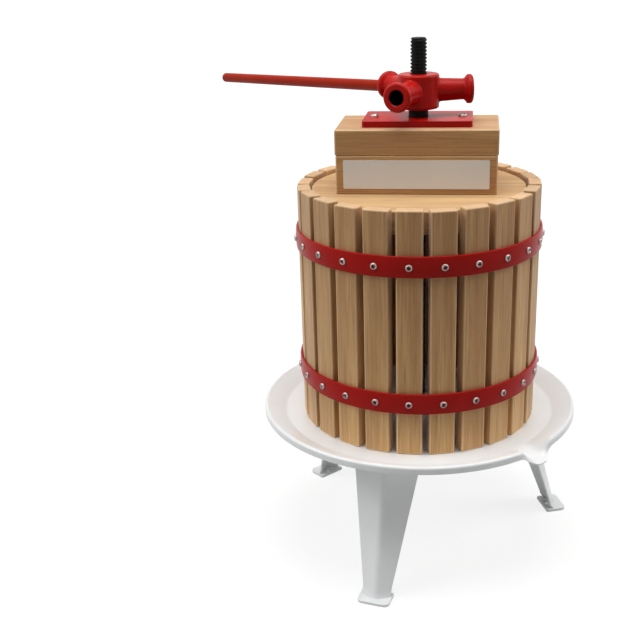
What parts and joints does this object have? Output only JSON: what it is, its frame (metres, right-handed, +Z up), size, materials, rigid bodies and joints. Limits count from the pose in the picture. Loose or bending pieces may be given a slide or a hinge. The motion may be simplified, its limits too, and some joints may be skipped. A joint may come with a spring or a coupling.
{
  "type": "fruit press",
  "caption": "Small screw fruit press: slatted basket with steel hoops in a pouring tray on three legs, pressed by a wooden block stack under a capstan nut.",
  "frame": {"origin": "on the spindle axis at floor level, the centre of the three foot holes", "axes": "+Z up along the spindle, -Y towards the front, +X to the right seen from the front"},
  "size_m": [0.3804, 0.4388, 0.467],
  "materials": {
    "slat_wood": "planed beech, unvarnished",
    "block_wood": "planed beech, slightly browner",
    "red_casting": "gloss red enamel paint",
    "red_hoop": "gloss red enamel paint",
    "white_enamel": "gloss white powder coat",
    "black_steel": "blackened and oiled",
    "zinc_steel": "zinc plated"
  },
  "bodies": {
    "stand": {"drip_tray": "white_enamel", "leg_front": "white_enamel", "leg_right": "white_enamel", "leg_left": "white_enamel", "leg_bolts": "zinc_steel", "leg_nuts": "zinc_steel", "spindle": "black_steel", "spindle_washer": "zinc_steel", "backing_washer": "zinc_steel", "spindle_nut_upper": "zinc_steel", "spindle_nut_lower": "zinc_steel"},
    "basket": {"slat_01": "slat_wood", "slat_02": "slat_wood", "slat_03": "slat_wood", "slat_04": "slat_wood", "slat_05": "slat_wood", "slat_06": "slat_wood", "slat_07": "slat_wood", "slat_08": "slat_wood", "slat_09": "slat_wood", "slat_10": "slat_wood", "slat_11": "slat_wood", "slat_12": "slat_wood", "slat_13": "slat_wood", "slat_14": "slat_wood", "slat_15": "slat_wood", "slat_16": "slat_wood", "slat_17": "slat_wood", "slat_18": "slat_wood", "slat_19": "slat_wood", "slat_20": "slat_wood", "slat_21": "slat_wood", "slat_22": "slat_wood", "slat_23": "slat_wood", "slat_24": "slat_wood", "hoop_lower": "red_hoop", "hoop_upper": "red_hoop", "hoop_screws_lower": "zinc_steel", "hoop_screws_upper": "zinc_steel"},
    "press_stack": {"disc_front": "block_wood", "disc_rear": "block_wood", "lower_block_front": "block_wood", "lower_block_rear": "block_wood", "upper_block": "block_wood", "pressure_plate": "red_casting", "plate_screws": "zinc_steel", "stack_screws": "zinc_steel", "thrust_collar": "black_steel"},
    "capstan": {"capstan_nut": "red_casting"},
    "lever": {"lever_bar": "red_casting"}
  },
  "joints": [
    {"name": "basket_lift", "type": "slide", "parent": "stand", "child": "basket", "axis": [0, 0, 1], "range_m": [0, 0.03]},
    {"name": "press_travel", "type": "slide", "parent": "stand", "child": "press_stack", "axis": [0, 0, 1], "range_m": [-0.036, 0.024]},
    {"name": "nut_turn", "type": "hinge", "parent": "press_stack", "child": "capstan", "pos_m": [0, 0, 0.4228], "axis": [0, 0, 1], "range_deg": [-4320, 2880]},
    {"name": "lever_pull", "type": "slide", "parent": "capstan", "child": "lever", "axis": [-0.6236, 0.7783, -0.0732], "range_m": [0, 0.03]}
  ],
  "couplings": [
    {"joint": "press_travel", "follows": "nut_turn", "m_per_rad": 0.00047746}
  ]
}
